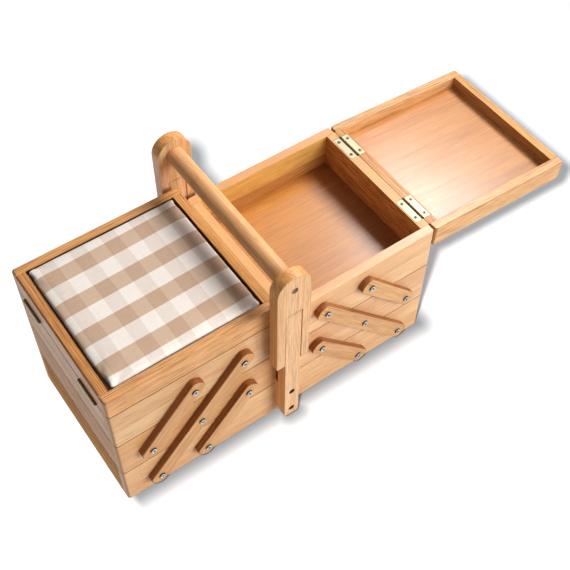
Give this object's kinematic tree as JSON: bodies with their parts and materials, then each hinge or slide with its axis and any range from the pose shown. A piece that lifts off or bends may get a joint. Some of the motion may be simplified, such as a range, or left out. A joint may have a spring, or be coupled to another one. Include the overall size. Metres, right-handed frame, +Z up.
{
  "type": "cantilever sewing box",
  "caption": "Bamboo sewing box whose trays swing out on parallel links either side of a carrying handle, under two hinged lids with padded gingham tops.",
  "frame": {"origin": "centre of the base's underside", "axes": "+X along the box towards the folded-back lid, +Y to the back, +Z up"},
  "size_m": [0.6621, 0.252, 0.292],
  "materials": {
    "bamboo": "clear satin varnish",
    "gingham_fabric": "plain-woven cotton check",
    "brass": "polished",
    "steel": "bright zinc plated"
  },
  "bodies": {
    "root": {"base_front_wall": "bamboo", "base_back_wall": "bamboo", "base_end_walls": "bamboo", "base_floor": "bamboo", "base_pivot_screws": "steel", "handle_front_post": "bamboo", "handle_back_post": "bamboo", "handle_front_fork": "bamboo", "handle_back_fork": "bamboo", "handle_spacers": "bamboo", "handle_bar": "bamboo", "handle_screws": "steel"},
    "right_long_links": {"right_long_links": "bamboo"},
    "right_lower_links": {"right_lower_links": "bamboo"},
    "right_upper_links": {"right_upper_links": "bamboo"},
    "right_mid_tray": {"right_mid_tray_front": "bamboo", "right_mid_tray_back": "bamboo", "right_mid_tray_outer_end": "bamboo", "right_mid_tray_inner_end": "bamboo", "right_mid_tray_floor": "bamboo", "right_mid_tray_pivot_screws": "steel"},
    "right_top_tray": {"right_top_tray_front": "bamboo", "right_top_tray_back": "bamboo", "right_top_tray_outer_end": "bamboo", "right_top_tray_inner_end": "bamboo", "right_top_tray_floor": "bamboo", "right_top_tray_pivot_screws": "steel", "right_hinge_tray_leaves": "brass", "right_hinge_pins": "brass"},
    "right_lid": {"right_lid_front_rail": "bamboo", "right_lid_back_rail": "bamboo", "right_lid_hinge_rail": "bamboo", "right_lid_free_rail": "bamboo", "right_lid_panel": "bamboo", "right_lid_cushion": "gingham_fabric", "right_hinge_lid_leaves": "brass"},
    "left_long_links": {"left_long_links": "bamboo"},
    "left_lower_links": {"left_lower_links": "bamboo"},
    "left_upper_links": {"left_upper_links": "bamboo"},
    "left_mid_tray": {"left_mid_tray_front": "bamboo", "left_mid_tray_back": "bamboo", "left_mid_tray_outer_end": "bamboo", "left_mid_tray_inner_end": "bamboo", "left_mid_tray_floor": "bamboo", "left_mid_tray_pivot_screws": "steel"},
    "left_top_tray": {"left_top_tray_front": "bamboo", "left_top_tray_back": "bamboo", "left_top_tray_outer_end": "bamboo", "left_top_tray_inner_end": "bamboo", "left_top_tray_floor": "bamboo", "left_top_tray_pivot_screws": "steel", "left_hinge_tray_leaves": "brass", "left_hinge_pins": "brass"},
    "left_lid": {"left_lid_front_rail": "bamboo", "left_lid_back_rail": "bamboo", "left_lid_hinge_rail": "bamboo", "left_lid_free_rail": "bamboo", "left_lid_panel": "bamboo", "left_lid_cushion": "gingham_fabric", "left_hinge_lid_leaves": "brass"}
  },
  "joints": [
    {"name": "right_trays_open", "type": "hinge", "parent": "root", "child": "right_long_links", "pos_m": [0.1775, 0, 0.0288], "axis": [0, 1, 0], "range_deg": [0, 82.4]},
    {"name": "right_lower_links_swing", "type": "hinge", "parent": "root", "child": "right_lower_links", "pos_m": [0.113, 0, 0.0288], "axis": [0, 1, 0], "range_deg": [0, 82.4]},
    {"name": "right_mid_tray_level", "type": "hinge", "parent": "right_long_links", "child": "right_mid_tray", "pos_m": [0.1175, 0, 0.0973], "axis": [0, 1, 0], "range_deg": [-82.4, 0]},
    {"name": "right_top_tray_level", "type": "hinge", "parent": "right_long_links", "child": "right_top_tray", "pos_m": [0.0575, 0, 0.1658], "axis": [0, 1, 0], "range_deg": [-82.4, 0]},
    {"name": "right_upper_links_swing", "type": "hinge", "parent": "right_mid_tray", "child": "right_upper_links", "pos_m": [0.182, 0, 0.0973], "axis": [0, 1, 0], "range_deg": [0, 82.4]},
    {"name": "right_lid_hinge", "type": "hinge", "parent": "right_top_tray", "child": "right_lid", "pos_m": [0.2222, 0, 0.1937], "axis": [0, 1, 0], "range_deg": [-183.5, 0]},
    {"name": "left_trays_open", "type": "hinge", "parent": "root", "child": "left_long_links", "pos_m": [-0.1775, 0, 0.0288], "axis": [0, -1, 0], "range_deg": [0, 82.4]},
    {"name": "left_lower_links_swing", "type": "hinge", "parent": "root", "child": "left_lower_links", "pos_m": [-0.113, 0, 0.0288], "axis": [0, -1, 0], "range_deg": [0, 82.4]},
    {"name": "left_mid_tray_level", "type": "hinge", "parent": "left_long_links", "child": "left_mid_tray", "pos_m": [-0.1175, 0, 0.0973], "axis": [0, -1, 0], "range_deg": [-82.4, 0]},
    {"name": "left_top_tray_level", "type": "hinge", "parent": "left_long_links", "child": "left_top_tray", "pos_m": [-0.0575, 0, 0.1658], "axis": [0, -1, 0], "range_deg": [-82.4, 0]},
    {"name": "left_upper_links_swing", "type": "hinge", "parent": "left_mid_tray", "child": "left_upper_links", "pos_m": [-0.182, 0, 0.0973], "axis": [0, -1, 0], "range_deg": [0, 82.4]},
    {"name": "left_lid_hinge", "type": "hinge", "parent": "left_top_tray", "child": "left_lid", "pos_m": [-0.2222, 0, 0.1937], "axis": [0, -1, 0], "range_deg": [0, 183.5]}
  ],
  "couplings": [
    {"joint": "right_lower_links_swing", "follows": "right_trays_open", "ratio": 1},
    {"joint": "right_mid_tray_level", "follows": "right_trays_open", "ratio": -1},
    {"joint": "right_top_tray_level", "follows": "right_trays_open", "ratio": -1},
    {"joint": "right_upper_links_swing", "follows": "right_trays_open", "ratio": 1},
    {"joint": "left_lower_links_swing", "follows": "left_trays_open", "ratio": 1},
    {"joint": "left_mid_tray_level", "follows": "left_trays_open", "ratio": -1},
    {"joint": "left_top_tray_level", "follows": "left_trays_open", "ratio": -1},
    {"joint": "left_upper_links_swing", "follows": "left_trays_open", "ratio": 1}
  ]
}
